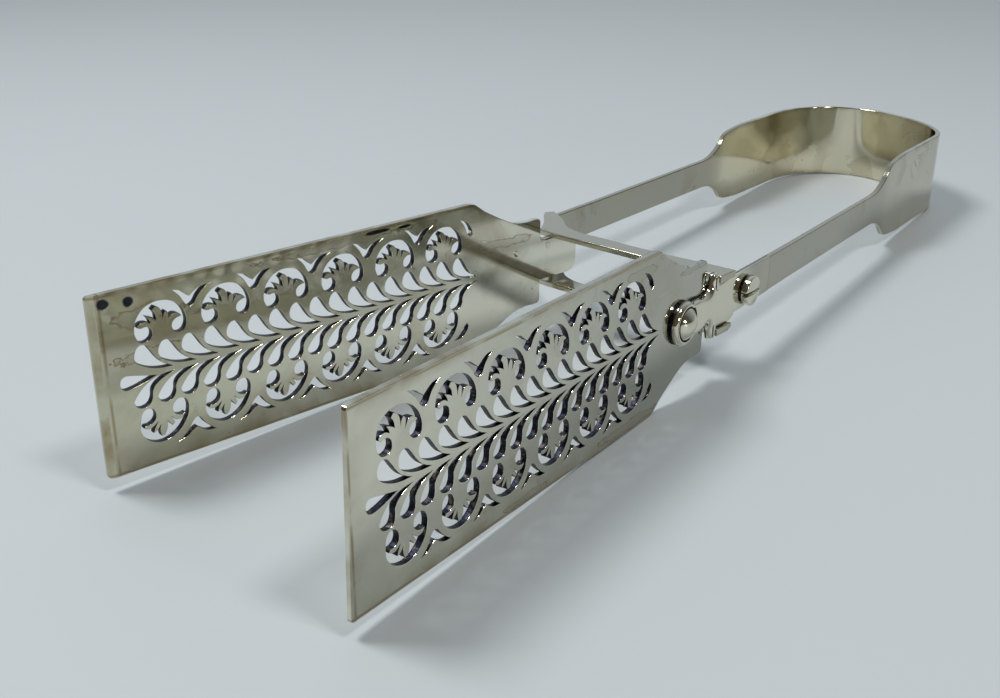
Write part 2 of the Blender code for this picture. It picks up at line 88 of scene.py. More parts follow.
# Fits: GAP between pieces that slide or clear, SEAT between faces that rest on each other
GAP = 0.0003
SEAT = 0.00003
HEAD_INSET = BLADE_THICK + GAP
HEAD_OUTSET = HEAD_INSET + STRIP_THICK

# Head plate and its half lap
HEAD_DROP = 0.0004
LAP_START_X, LAP_LENGTH = 0.0106, 0.0150
LAP_END_X = LAP_START_X + LAP_LENGTH
LAP_STATIONS, LAP_STEP = 12, 0.00001
LOBE_X = -0.0094
HORN_X, HORN_LENGTH = 0.0008, 0.0017
CHEEK_LENGTH = 0.0050

# Guide straps: the lower one has a corner cut off, their ends close up to the arm, and their web at
# the crank is fuller than in the part, between two ramps
STRAP_THICK, STRAP_SPACING = 0.0012, 0.0100
STRAP_CORNER, STRAP_CLOSING = 0.0009, 0.00026
WEB_OUTWARD, WEB_REACH = Vector((-0.5, 0.87)), 0.0013
WEB_FRONT_X, WEB_FRONT_RAMP = 0.0026, 0.0038
WEB_REAR_X, WEB_REAR_RAMP = 0.0168, 0.0030

# Domed rivet: (radius, level) pairs for the tail that is headed over inside
BOSS_RADIUS, DOME_RISE, DOME_STEPS = 0.0031, 0.0014, 12
BOSS_GROOVE, GROOVE_DEPTH, BOSS_LIP = 0.0005, 0.0006, 0.0001
BOSS_SHANK = 0.0010
BOSS_TAIL = [(0.0021, 0.0), (0.0020, -0.00018), (0.0014, -0.00036), (0, -0.00042)]

# Slotted screw, with a dark line painted as contact shade where it seats and its slot painted dark as shade
SCREW_X, SCREW_DROP = 0.0151, 0.0005
SCREW_RADIUS, SCREW_RISE, SCREW_DOME = 0.0031, 0.0013, 0.0004
SCREW_RIM, SCREW_SHANK = 0.00035, 0.0012
SEAT_LINE, SCREW_SEAT = 0.0003, 0.00002
SLOT_WIDTH, SLOT_DEPTH, SLOT_LIP = 0.0009, 0.0012, 0.0002
SLOT_TURN = math.radians(3)
SLOT_EDGE, SLOT_EDGE_ANGLE = 0.00006, math.radians(55)

# Pins through the far blade: (radius, level) pairs for the filed face and for the head outside
PINS_X, PINS_UP = (-0.0070, 0.0023), 0.0030
PIN_FACE = [(0, -0.00005), (0.0006, -0.00005), (0.0007, -0.00003), (0.00076, 0.00003)]
PIN_SHANK = 0.0007
PIN_HEAD = [(0.0012, 0.0), (0.00117, 0.00016), (0.0009, 0.0003), (0, 0.00036)]

# Rounding of the edges, and the steps that curves are drawn in. FRINGE is the band of an edge's toning
BLADE_EDGE = 0.00010
STRIP_EDGE = 0.00028
STRAP_EDGE, STRAP_END_EDGE = 0.00035, 0.00016
# PLATE_FOOT is the band at the foot of the head plate's wall that is painted dark as contact shade
PLATE_EDGE, PLATE_BACK_EDGE, PLATE_FOOT = 0.00085, 0.0001, 0.0005
HORN_EDGE, HORN_EDGE_X, HORN_EDGE_WIDTH = 0.0013, HORN_X - 0.0014, 0.0021
LAP_EDGE, HOLE_EDGE = 0.00010, 0.00012
FLAT_RING = 0.00004
FRINGE = 0.0012
FRINGE_FLAT = 0.00005
SHARP_ANGLE = math.radians(44)
CORNER_ANGLE = math.radians(58)
CORNER_STEPS, SMOOTH_STEPS, ROUND_STEPS = 4, 4, 6
STATION = 0.0007
WELD = 0.000001
LEVEL_SLACK = 0.00003

# Where the colour of the metal changes: toning, and the blades' painted reflection and rim shade
BRIGHT_BOW_REACH = 0.0220
TONED_BAND = 0.0015
# Between these two places along a blade, its colour fades into a painted reflection
REAR_REFLECTION_X = -0.085, -0.022
# How far in from the long edges the line of painted rim shade runs
RIM_LINE = 0.0004

# Faces of a blade, by how far they face out: flat above FACE_ON, walls below WALL_ON. Walls within
# OUTER_WALL or TIP_WALL of the outline stay bright; the other walls are painted dark as shade
FACE_ON, WALL_ON = 0.95, 0.3
OUTER_WALL, TIP_WALL = 0.0003, 0.0009

# The scrolls of the piercing, on squared paper: squares back from a scroll's middle and up from the
# blade's centre line, round the rim and back round the petals of the palmette. FIRST_SCROLL counts from
# the tip. Each scroll leans by SLANT of its height and wanders up or down by up to HAND_WANDER squares
SQUARE = 0.0008
FIRST_SCROLL, SCROLL_PITCH, SCROLL_COUNT = 13.4, 15.2, 6
SCROLL_LONGEST, PIERCING_END_X = 0.0075, -0.0193
SLANT = {LEFT: -0.05, RIGHT: 0.07}
HAND_WANDER = 0.12
SCROLL_SQUARES = [
    (-5.6, 9.6), (-5.7, 11.0), (-5.4, 12.6), (-4.5, 14.1), (-3.1, 15.2), (-1.1, 15.8), (1.3, 15.6),
    (3.3, 14.7), (4.8, 13.2), (5.6, 11.6), (5.9, 10.0), (5.5, 8.7), (4.6, 8.1), (3.5, 8.3), (2.7, 9.2),
    (2.7, 10.3), (3.5, 11.1), (4.9, 11.4), (4.1, 12.2), (3.1, 12.5), (2.3, 12.2), (1.7, 11.2),
    (1.9, 12.6), (1.3, 13.4), (0.8, 12.8), (0.6, 11.6), (0.4, 13.4), (-0.2, 14.4), (-1.1, 14.9),
    (-1.8, 14.2), (-1.1, 13.2), (-0.9, 12.0), (-1.6, 12.5), (-3.2, 13.2), (-2.5, 12.3), (-2.2, 11.5),
    (-3.1, 12.0), (-4.2, 12.1), (-5.0, 11.7), (-5.0, 11.1), (-4.3, 10.8), (-3.1, 10.9), (-2.2, 10.3),
    (-1.9, 9.4), (-2.2, 8.4), (-3.3, 7.8), (-4.7, 8.1)
]
LOW_SCROLL_SQUARES = [
    (-5.3, 9.8), (-5.3, 11.6), (-4.4, 13.3), (-2.8, 14.6), (-0.6, 15.3), (1.8, 14.9), (3.8, 13.6),
    (5.2, 11.7), (5.8, 9.6), (5.5, 7.9), (4.5, 6.9), (3.2, 6.9), (2.2, 7.9), (2.2, 9.2), (3.0, 10.1),
    (4.1, 10.5), (5.0, 10.3), (4.2, 11.3), (2.9, 11.4), (1.8, 10.5), (2.5, 11.9), (1.9, 12.4),
    (0.8, 11.1), (0.7, 12.6), (0.1, 13.9), (-0.7, 14.0), (-1.0, 12.7), (-0.8, 11.4), (-1.6, 12.4),
    (-2.5, 12.8), (-2.2, 11.8), (-1.6, 10.7), (-2.6, 11.4), (-3.7, 11.6), (-4.6, 11.1), (-4.3, 10.6),
    (-3.2, 10.6), (-2.1, 9.9), (-1.8, 8.7), (-2.5, 7.4), (-3.8, 7.0), (-4.9, 7.8)
]

# Fiddle shoulder: shares of its length, and of the rise from the stem to the bow
FIDDLE_SHARES = [(0.0, 0.0), (0.15, 0.06), (0.27, 0.19), (0.38, 0.385), (0.46, 0.63), (0.54, 0.82),
                 (0.66, 0.90), (0.80, 0.95), (1.0, 1.0)]

# Colours of the plate, and of what lies on it
TONED, STAIN = (0.62, 0.54, 0.37), (0.26, 0.17, 0.08)
# DULL stands partly for tarnished metal and partly for a painted reflection of shaded floor
DULL, BLOT = (0.42, 0.41, 0.345), (0.012, 0.017, 0.030)
# Near black painted as shade on sawn walls, in grooves and slots and where pieces seat, with lighter
# streaks
WALL_SHADE, SAWN = (0.012, 0.014, 0.026), (0.22, 0.19, 0.16)

# Tide marks and dark blots of the blades: place on the metal, and reach along and up
MARK_DEPTH = 0.0009
NEAR_MARKS = [((-0.0240, 0.0133, BLADE_THICK), (0.0048, 0.0009)),
              ((-0.0262, -0.0146, BLADE_THICK), (0.0080, 0.0008)),
              ((-0.0050, 0.0092, BLADE_THICK), (0.0048, 0.0006)),
              ((-0.0580, -0.0149, BLADE_THICK), (0.0060, 0.0005))]
FAR_MARKS = [((-0.0905, 0.0108, 0), (0.0050, 0.0018)), ((-0.0890, 0.0040, 0), (0.0070, 0.0012)),
             ((-0.0100, 0.0062, 0), (0.0060, 0.0010)), ((-0.0500, 0.0146, 0), (0.0150, 0.0007))]
FAR_BLOTS = [((-0.0969, 0.0143, 0), (0.0012, 0.0010)), ((-0.0925, 0.0137, 0), (0.0011, 0.0010)),
             ((-0.0425, 0.0151, 0), (0.0030, 0.0004)), ((-0.0365, 0.0149, 0), (0.0016, 0.0003))]

# Table, light and camera
FLOOR_COLOUR, FLOOR_ROUGHNESS, FLOOR_REACH = (0.515, 0.555, 0.57, 1), 0.55, 3.0
BRIGHT_SIDE = (0.66, 0.70, 0.27)
ROOM, WINDOW = (0.088, 0.078, 0.058), (0.50, 0.56, 0.62)
EYE = Vector((-0.184413, -0.132890, 0.079453))
YAW, PITCH, ROLL = 0.726979, 0.395297, 0.005729
FOCAL_PIXELS, PHOTO_WIDTH = 1181.26, 1000
SENSOR_WIDTH, NEAREST = 36.0, 0.005


# Frames and lines, as in the part

def arm_frame(side, outset=0.0):
    """Local x runs back along one blade, local y is up, and the outset is from its inner face."""
    along = Vector((math.cos(SPLAY), -side * math.sin(SPLAY), 0))
    outward = Vector((math.sin(SPLAY), side * math.cos(SPLAY), 0))
    up = Vector((0, 0, 1))
    place = Matrix((along, up, along.cross(up))).transposed().to_4x4()
    place.translation = Vector((0, side * INNER_Y, 0)) + outward * outset
    return place


def facing(side, along, up, outset):
    """Frame on one blade whose local z points outward."""
    place = arm_frame(side, outset) @ Matrix.Translation((along, up, 0))
    return place if side == LEFT else place @ Matrix.Rotation(math.pi, 4, "Y")


def arm_point(side, along, outset):
    """A point of an arm's front end, seen from above."""
    return (arm_frame(side, outset) @ Vector((along, 0, 0))).xy


def bow_point(angle):
    """A point of the bow's middle line, seen from above. The bow is fuller towards the right arm."""
    off = max(-math.pi / 2, min(math.pi / 2, angle - BOW_TURN))
    reach = BOW_RADIUS * (1 + BOW_ASKEW * math.sin(2 * off) * math.cos(off))
    return BOW_CENTRE + reach * Vector((math.cos(angle), math.sin(angle)))


def stem_angle(side, start):
    """The angle on the bow where a straight stem from the start runs into it."""
    reach = BOW_CENTRE - start
    heading = math.atan2(reach.y, reach.x) + side * math.asin(BOW_RADIUS / reach.length)
    return heading + side * math.pi / 2


# Materials

def shader_nodes(name):
    """A new material with one surface shader."""
    material = bpy.data.materials.new(name)
    material.use_nodes = True
    tree = material.node_tree
    tree.nodes.clear()
    output = tree.nodes.new("ShaderNodeOutputMaterial")
    shader = tree.nodes.new("ShaderNodeBsdfPrincipled")
    tree.links.new(shader.outputs[0], output.inputs[0])
    return material, tree, shader


class Graph:
    """Short names for the nodes that the finishes are made of."""

    def __init__(self, tree):
        self.tree = tree

    def node(self, kind, inputs=(), **settings):
        made = self.tree.nodes.new("ShaderNode" + kind)
        for key, value in settings.items():
            setattr(made, key, value)
        for key, value in dict(inputs).items():
            self.feed(made.inputs[key], value)
        return made

    def feed(self, socket, value):
        if isinstance(value, bpy.types.NodeSocket):
            self.tree.links.new(value, socket)
        else:
            socket.default_value = value

    def noise(self, vector, scale, detail=2.0, roughness=0.5, distortion=0.0):
        made = self.node("TexNoise", {"Vector": vector, "Scale": scale, "Detail": detail,
                                      "Roughness": roughness, "Distortion": distortion})
        return made.outputs["Fac"]

    def stretch(self, vector, scale, turn=0.0):
        made = self.node("Mapping", {"Vector": vector, "Scale": scale, "Rotation": (0, 0, turn)})
        return made.outputs["Vector"]

    def ramp(self, value, low, high, to_low=0.0, to_high=1.0):
        made = self.node("MapRange", {"Value": value, "From Min": low, "From Max": high, "To Min": to_low,
                                      "To Max": to_high})
        return made.outputs["Result"]

    def math(self, operation, a, b=0.0):
        made = self.node("Math", operation=operation)
        self.feed(made.inputs[0], a)
        self.feed(made.inputs[1], b)
        return made.outputs[0]

    def mix(self, factor, a, b):
        made = self.node("Mix", data_type="RGBA")
        self.feed(made.inputs["Factor"], factor)
        self.feed(made.inputs["A"], a if isinstance(a, bpy.types.NodeSocket) else (*a, 1))
        self.feed(made.inputs["B"], b if isinstance(b, bpy.types.NodeSocket) else (*b, 1))
        return made.outputs["Result"]


def spot_distance(g, flow, place, reach):
    """Distance from a place on the metal, counted in reaches along it, up and through it."""
    moved = g.node("VectorMath", operation="SUBTRACT")
    g.feed(moved.inputs[0], flow)
    g.feed(moved.inputs[1], place)
    scaled = g.node("VectorMath", operation="MULTIPLY")
    g.feed(scaled.inputs[0], moved.outputs["Vector"])
    g.feed(scaled.inputs[1], (1 / reach[0], 1 / reach[1], 1 / MARK_DEPTH))
    apart = g.node("VectorMath", operation="LENGTH")
    g.feed(apart.inputs[0], scaled.outputs["Vector"])
    return apart.outputs["Value"]


def brown_toning(g, flow, wear, tarnish_and_shade):
    """Brown toning in patches and in a ragged fringe along the edges."""
    edge = g.node("Attribute", attribute_name="edge").outputs["Fac"]
    patches = g.ramp(g.noise(flow, 70, 4, 0.6, 0.4), 0.45, 0.72)
    if tarnish_and_shade is not None:
        patches = g.math("MULTIPLY", patches, tarnish_and_shade)
    fringe = g.math("MULTIPLY", edge, g.ramp(g.noise(flow, 160, 3), 0.35, 0.65))
    return g.math("MINIMUM", g.math("ADD", g.math("MULTIPLY", patches, wear), fringe), 1.0)


def painted_rim_shade(g, flow, parts, tip_line):
    """A thin broken line of painted shade, in the toned colour, along the long edges and the tip of a
    blade.
    """
    height = g.math("ABSOLUTE", parts.outputs["Y"])
    from_long = g.math("ABSOLUTE", g.math("SUBTRACT", height, BLADE_HALF_HEIGHT - RIM_LINE))
    from_tip = g.math("ABSOLUTE", g.math("SUBTRACT", parts.outputs["X"], BLADE_TIP_X + tip_line))
    rim = g.ramp(g.math("MINIMUM", from_long, from_tip), 0.2 * RIM_LINE, RIM_LINE, 1.0, 0.0)
    return g.math("MULTIPLY", rim, g.ramp(g.noise(flow, 130, 3), 0.30, 0.50))


def tide_marks(g, flow, ragged, tide, marks_at):
    """Fine brown outlines, faintly filled, as drying water leaves them."""
    contour = g.noise(flow, 95, 4, 0.55, 0.6)
    line = g.ramp(g.math("ABSOLUTE", g.math("SUBTRACT", contour, 0.56)), 0.0, 0.008, 1.0, 0.0)
    inside = g.ramp(contour, 0.54, 0.58, 0.0, 0.35)
    where = g.math("MULTIPLY", g.ramp(g.noise(flow, 42, 2), 0.50, 0.60), tide)
    marks = g.math("MULTIPLY", g.math("MAXIMUM", line, inside), where)
    for place, reach in marks_at:
        apart = g.math("ADD", spot_distance(g, flow, place, reach), ragged)
        rim = g.ramp(g.math("ABSOLUTE", g.math("SUBTRACT", apart, 1.0)), 0.0, 0.12, 0.85, 0.0)
        filled = g.ramp(apart, 0.90, 1.02, 0.16, 0.0)
        marks = g.math("MAXIMUM", marks, g.math("MAXIMUM", rim, filled))
    return marks


def brown_specks(g, flow):
    """Small specks, in clusters."""
    cells = g.node("TexVoronoi", {"Vector": flow, "Scale": 420.0}).outputs["Distance"]
    specks = g.math("MULTIPLY", g.ramp(cells, 0.05, 0.16, 1.0, 0.0), g.ramp(g.noise(flow, 60), 0.56, 0.62))
    return g.math("MULTIPLY", specks, 0.7)


def fine_scratches(g, flow):
    """Scratches that run nearly along the metal, crossed by fewer at a steeper turn."""
    rubbed = g.noise(g.stretch(flow, (90, 2600, 90), 0.10), 1.0, 3, 0.7)
    crossed = g.noise(g.stretch(flow, (140, 3800, 140), -0.55), 1.0, 2, 0.7)
    return g.math("MAXIMUM", g.ramp(rubbed, 0.60, 0.80), g.ramp(crossed, 0.64, 0.82))


def silver(name, clean, toned, polish, wear, tide, dull=None, marks_at=(), blots_at=(), rear=None,
           tip_line=0.0):
    """Old silver plate: toned, scratched, with tide marks and specks.

    With a dull colour given, the metal turns to it where it is tarnished and where a reflection of shaded
    floor is painted. With a rear colour given, as for the blades, it fades to that towards the rear, a
    painted reflection, and has a brown line of painted shade along its rim.
    """
    material, tree, shader = shader_nodes(name)
    g = Graph(tree)
    shader.inputs["Metallic"].default_value = 1.0
    flow = g.node("Attribute", attribute_name="flow").outputs["Vector"]
    tarnish_and_shade = g.node("Attribute", attribute_name="tarnish_and_shade").outputs["Fac"] if dull else None

    # The dull colour: partly tarnished metal, partly a painted reflection of shaded floor
    base = g.mix(tarnish_and_shade, clean, dull) if dull else clean
    toning = brown_toning(g, flow, wear, tarnish_and_shade)
    # A painted reflection: the blades fade towards the rear colour, darker on the near one, lighter on the
    # far one
    if rear:
        parts = g.node("SeparateXYZ", {"Vector": flow})
        base = g.mix(g.ramp(parts.outputs["X"], *REAR_REFLECTION_X), clean, rear)
        # Painted shade along the rim, drawn as a broken brown line with the toning
        toning = g.math("MAXIMUM", toning, painted_rim_shade(g, flow, parts, tip_line))
    colour = g.mix(toning, base, toned)

    ragged = g.math("MULTIPLY", g.math("SUBTRACT", g.noise(flow, 260, 5, 0.65), 0.5), 3.0)
    marks = tide_marks(g, flow, ragged, tide, marks_at)
    colour = g.mix(marks, colour, STAIN)
    colour = g.mix(brown_specks(g, flow), colour, STAIN)
    frayed = g.math("MULTIPLY", ragged, 0.4)
    for place, reach in blots_at:
        apart = g.math("ADD", spot_distance(g, flow, place, reach), frayed)
        colour = g.mix(g.ramp(apart, 0.8, 1.1, 0.97, 0.0), colour, BLOT)
    tree.links.new(colour, shader.inputs["Base Color"])

    scratch = fine_scratches(g, flow)
    haze = g.ramp(g.noise(flow, 120, 3, 0.6), 0.3, 0.8, polish, polish + 0.07)
    rough = g.math("ADD", g.math("MULTIPLY", scratch, 0.10), haze)
    rough = g.math("ADD", rough, g.math("MULTIPLY", marks, 0.15))
    tree.links.new(rough, shader.inputs["Roughness"])

    relief = g.math("ADD", g.math("MULTIPLY", scratch, -0.02), g.noise(flow, 55, 1))
    bump = g.node("Bump", {"Height": relief, "Strength": 0.10, "Distance": 0.0004})
    tree.links.new(bump.outputs["Normal"], shader.inputs["Normal"])
    return material


def cut_metal(name):
    """Sawn walls of the piercing, painted near black as shade, mottled with lighter streaks."""
    material, tree, shader = shader_nodes(name)
    g = Graph(tree)
    shader.inputs["Metallic"].default_value = 0.85
    flow = g.node("Attribute", attribute_name="flow").outputs["Vector"]
    wall_mottle = g.noise(flow, 900, 4, 0.7)
    colour = g.mix(g.ramp(wall_mottle, 0.52, 0.72), WALL_SHADE, SAWN)
    tree.links.new(colour, shader.inputs["Base Color"])
    tree.links.new(g.ramp(wall_mottle, 0.3, 0.7, 0.30, 0.55), shader.inputs["Roughness"])
    saw = g.noise(g.stretch(flow, (2500, 2500, 400)), 1.0, 2)
    bump = g.node("Bump", {"Height": saw, "Strength": 0.5, "Distance": 0.0002})
    tree.links.new(bump.outputs["Normal"], shader.inputs["Normal"])
    return material


# The strip's dull colour is partly a painted reflection of shaded floor
strip_silver = silver("worn_and_shaded_strip_silver", (0.84, 0.785, 0.60), (0.45, 0.41, 0.30), 0.08, 0.45, 0.6, DULL)
# The blades' rear colours are painted reflections: of shaded floor on the near blade, of light on the far
# one
left_silver = silver("worn_and_shaded_left_blade_silver", (0.75, 0.73, 0.61), (0.40, 0.34, 0.23), 0.07, 0.3, 0.25,
                     marks_at=NEAR_MARKS, rear=(0.49, 0.49, 0.42), tip_line=RIM_LINE)
right_silver = silver("worn_lit_and_shaded_right_blade_silver", (0.62, 0.60, 0.46), (0.40, 0.33, 0.21), 0.055, 0.6, 0.4,
                      marks_at=FAR_MARKS, blots_at=FAR_BLOTS, rear=(0.80, 0.78, 0.66),
                      tip_line=TIP_BEVEL_WIDTH)
head_silver = silver("bright_head_silver", (0.73, 0.70, 0.57), TONED, 0.05, 0.3, 0.2, DULL)
guide_silver = silver("worn_guide_silver", (0.50, 0.48, 0.385), TONED, 0.09, 0.4, 0.3)
# Painted shade, for the sawn walls and for grooves, slots and the lines where pieces seat
walls = cut_metal("painted_shade_cut_metal")


# Shared steps of the meshes

def add_object(name, work):
    """An object made of a bmesh, which is freed."""
    mesh = bpy.data.meshes.new(name)
    work.to_mesh(mesh)
    work.free()
    made = bpy.data.objects.new(name, mesh)
    bpy.context.scene.collection.objects.link(made)
    return made


def take_mesh(sketch):
    """The mesh that an object shows with its curve filled or its modifiers done. The object goes."""
    bpy.context.view_layer.update()
    seen = sketch.evaluated_get(bpy.context.evaluated_depsgraph_get())
    mesh = bpy.data.meshes.new_from_object(seen)
    bpy.data.objects.remove(sketch, do_unlink=True)
    return mesh


def finish_piece(name, work, materials, body, replaced, smooth=True):
    """Turn a bmesh drawn in the level frame into a piece that stands in for nodes of the part.

    It rides with a body, or is left unattached when none is given. Where smooth is off, each face keeps its
    own shading.
    """
    work.normal_update()
    piece = add_object(name, work)
    mesh = piece.data
    for material in materials:
        mesh.materials.append(material)
    kept = [True] * len(mesh.polygons)
    if not smooth:
        mesh.polygons.foreach_get("use_smooth", kept)
    mesh.set_sharp_from_angle(angle=SHARP_ANGLE)
    mesh.polygons.foreach_set("use_smooth", kept)
    mesh.transform(PLACE)
    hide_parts(*replaced)
    if body:
        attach(piece, body)
    return piece


def keep_flow(work, flow_of=None, edge_of=None):
    """Give each vertex its place on the metal, for the grain, and its nearness to an edge, for toning."""
    flow = work.verts.layers.float_vector.new("flow")
    edge = work.verts.layers.float.new("edge")
    for vertex in work.verts:
        vertex[flow] = flow_of(vertex.co) if flow_of else vertex.co
        vertex[edge] = edge_of(vertex.co) if edge_of else 0.0


def smooth_loop(points):
    """A closed curve through the points that keeps their sharp corners."""
    count = len(points)
    corner = []
    for k, point in enumerate(points):
        back, ahead = point - points[k - 1], points[(k + 1) % count] - point
        corner.append(back.angle(ahead, 0) > CORNER_ANGLE)
    curve = []
    for k in range(count):
        p1, p2 = points[k], points[(k + 1) % count]
        p0 = p1 if corner[k] else points[k - 1]
        p3 = p2 if corner[(k + 1) % count] else points[(k + 2) % count]
        for step in range(SMOOTH_STEPS):
            t = step / SMOOTH_STEPS
            a = 2 * p1
            b = (p2 - p0) * t
            c = (2 * p0 - 5 * p1 + 4 * p2 - p3) * t * t
            d = (3 * p1 - p0 - 3 * p2 + p3) * t ** 3
            curve.append((a + b + c + d) / 2)
    return curve


def outlines_at(node, to_local, level, looks_up):
    """The outlines of a CAD plate's flat face at a level of its own frame, with the metal on their left."""
    work = bmesh.new()
    work.from_mesh(node.data)
    work.transform(to_local @ node.matrix_world)
    bmesh.ops.remove_doubles(work, verts=work.verts, dist=WELD)
    facets = [face for face in work.faces
              if all(abs(vertex.co.z - level) < LEVEL_SLACK for vertex in face.verts)]
    flat = set(facets)
    follow = {}
    for face in facets:
        for loop in face.loops:
            if loop.link_loop_radial_next.face not in flat:
                follow[loop.vert] = loop.link_loop_next.vert
    outlines = []
    while follow:
        start, vertex = follow.popitem()
        chain = [start.co.xy]
        while vertex != start:
            chain.append(vertex.co.xy)
            vertex = follow.pop(vertex)
        outlines.append(chain if looks_up else chain[::-1])
    work.free()
    return outlines


def length_along(chain):
    """How long an outline is along the blade."""
    return max(point.x for point in chain) - min(point.x for point in chain)


def inset_loop(loop, reach_of):
    """The loop moved into the metal on its left."""
    moved = []
    for k, point in enumerate(loop):
        back = (point - loop[k - 1]).normalized()
        ahead = (loop[(k + 1) % len(loop)] - point).normalized()
        normal = Vector((-back.y - ahead.y, back.x + ahead.x))
        if normal.length < 0.01:
            normal = Vector((-back.y, back.x))
        normal.normalize()
        stretch = 1 / max(0.6, normal.dot(Vector((-back.y, back.x))))
        moved.append(point + normal * reach_of(point) * stretch)
    return moved


def rounded_plate(loops, low, high, round_of, back_round, foot=0.0):
    """A flat plate with rounded rims. The rounding over the front can differ from point to point.

    The wall up to the foot is of the second material, the painted contact shade.
    """
    work = bmesh.new()
    thick = high - low
    profile = [(0, back_round * (1 - math.cos(a)), low + back_round * (1 - math.sin(a)))
               for a in (math.radians(90 - 45 * k) for k in range(2))]
    if foot:
        profile.append((0, 0, low + foot))
    turns = [math.radians(90 * k / ROUND_STEPS) for k in range(ROUND_STEPS + 1)]
    first_round = len(profile)
    profile += [(1 - math.cos(a), 0, 1 - math.sin(a)) for a in turns]
    rim_front, rim_back = [], []
    for loop in loops:
        rings = []
        for n, (share, fixed, level) in enumerate(profile):
            if n < first_round:
                points = inset_loop(loop, lambda point: fixed)
                rings.append([work.verts.new((p.x, p.y, level)) for p in points])
            else:
                points = inset_loop(loop, lambda point: round_of(point) * share)
                rings.append([work.verts.new((p.x, p.y, high - min(round_of(q), 0.8 * thick) * level))
                              for p, q in zip(points, loop)])
        points = inset_loop(loop, lambda point: round_of(point) + FLAT_RING)
        rings.append([work.verts.new((p.x, p.y, high)) for p in points])
        for n, (a, b) in enumerate(zip(rings, rings[1:])):
            for k in range(len(a)):
                face = work.faces.new((a[k - 1], a[k], b[k], b[k - 1]))
                face.smooth = True
                face.material_index = 1 if foot and n < first_round - 1 else 0
        rim_back += [work.edges.get((rings[0][k - 1], rings[0][k])) for k in range(len(loop))]
        rim_front += [work.edges.get((rings[-1][k - 1], rings[-1][k])) for k in range(len(loop))]
    for rim in (rim_back, rim_front):
        bmesh.ops.triangle_fill(work, use_beauty=True, use_dissolve=False, edges=rim)
    bmesh.ops.recalc_face_normals(work, faces=work.faces)
    return work


def lathe(work, profile, steps=64):
    """Turn a profile of (radius, level) about local z, starting and ending on the axis."""
    turns = [(math.cos(2 * math.pi * k / steps), math.sin(2 * math.pi * k / steps)) for k in range(steps)]
    rings = []
    for radius, level in profile:
        if radius < WELD:
            rings.append([work.verts.new((0, 0, level))])
        else:
            rings.append([work.verts.new((radius * x, radius * y, level)) for x, y in turns])
    made = []
    for a, b in zip(rings, rings[1:]):
        for k in range(steps):
            corners = [a[k - 1], a[k]] if len(a) > 1 else [a[0]]
            corners += [b[k], b[k - 1]] if len(b) > 1 else [b[0]]
            face = work.faces.new(corners)
            face.smooth = True
            made.append(face)
    bmesh.ops.recalc_face_normals(work, faces=made)
    return made


def spread(start, end, step=STATION):
    """Even steps from start up to end, the end left out."""
    count = max(1, round(abs(end - start) / step))
    return [start + (end - start) * k / count for k in range(count)]


# Spring strip

def rounded_rectangle(low, high, half_height, radius):
    """Section of a strip: points (across, up) round its four soft corners.

    More points beside them keep the edge's toning within the fringe.
    """
    points = []
    top = half_height - radius
    centres = [(high - radius, -top), (high - radius, top), (low + radius, top), (low + radius, -top)]
    for corner, (x, z) in enumerate(centres):
        first, last = math.radians(90) * (corner - 1), math.radians(90) * corner
        arc = [first + (last - first) * step / CORNER_STEPS for step in range(CORNER_STEPS + 1)]
        spots = [(x + radius * math.cos(a), z + radius * math.sin(a)) for a in arc]
        before = [FRINGE, FRINGE_FLAT] if corner % 2 else [FRINGE_FLAT]
        after = [FRINGE_FLAT] if corner % 2 else [FRINGE_FLAT, FRINGE]
        points += [(spots[0][0] + d * math.sin(first), spots[0][1] - d * math.cos(first)) for d in before]
        points += spots
        points += [(spots[-1][0] - d * math.sin(last), spots[-1][1] + d * math.cos(last)) for d in after]
    return points


def bow_tarnish_and_shade(run, height, side, inner):
    """How dull the strip is, partly tarnished metal and partly a painted reflection of shaded floor: fully
    on the stems, half outside the bow, and little inside it.

    Inside the left half of the bow it grows again, away from the middle.
    """
    into_bow = min(1.0, max(0.0, (height - STEM_HEIGHT) / (BOW_HEIGHT - STEM_HEIGHT)))
    bright_inside = max(0.0, 1 - abs(run) / BRIGHT_BOW_REACH) if side == LEFT else 1.0
    return 1 - (0.9 * bright_inside if inner else 0.4) * into_bow


def bent_strip(stations, side):
    """A strip bent along stations of (place, heading, low, high, half height), with rounded edges.

    The flow of its silver is counted from the middle of the bow, so both halves meet there without a step.
    """
    work = bmesh.new()
    flow = work.verts.layers.float_vector.new("flow")
    edge = work.verts.layers.float.new("edge")
    tarnish_and_shade = work.verts.layers.float.new("tarnish_and_shade")
    rings = []
    run = side * sum((b[0] - a[0]).length for a, b in zip(stations, stations[1:]))
    for k, (place, heading, low, high, half_height) in enumerate(stations):
        run -= side * (place - stations[k - 1][0]).length if k else 0.0
        across = Vector((heading.y, -heading.x))
        radius = min(STRIP_EDGE, 0.45 * (high - low))
        ring = []
        for offset, up in rounded_rectangle(low, high, half_height, radius):
            spot = place + across * offset
            vertex = work.verts.new((spot.x, spot.y, up))
            vertex[flow] = (run, up, side * offset)
            vertex[edge] = max(0.0, 1 - (half_height - abs(up)) / FRINGE)
            vertex[tarnish_and_shade] = bow_tarnish_and_shade(run, 2 * half_height, side, side * offset > 0)
            ring.append(vertex)
        rings.append(ring)
    for a, b in zip(rings, rings[1:]):
        for k in range(len(a)):
            work.faces.new((a[k - 1], b[k - 1], b[k], a[k]))
    work.faces.new(rings[0])
    work.faces.new(rings[-1][::-1])
    bmesh.ops.recalc_face_normals(work, faces=work.faces)
    return work


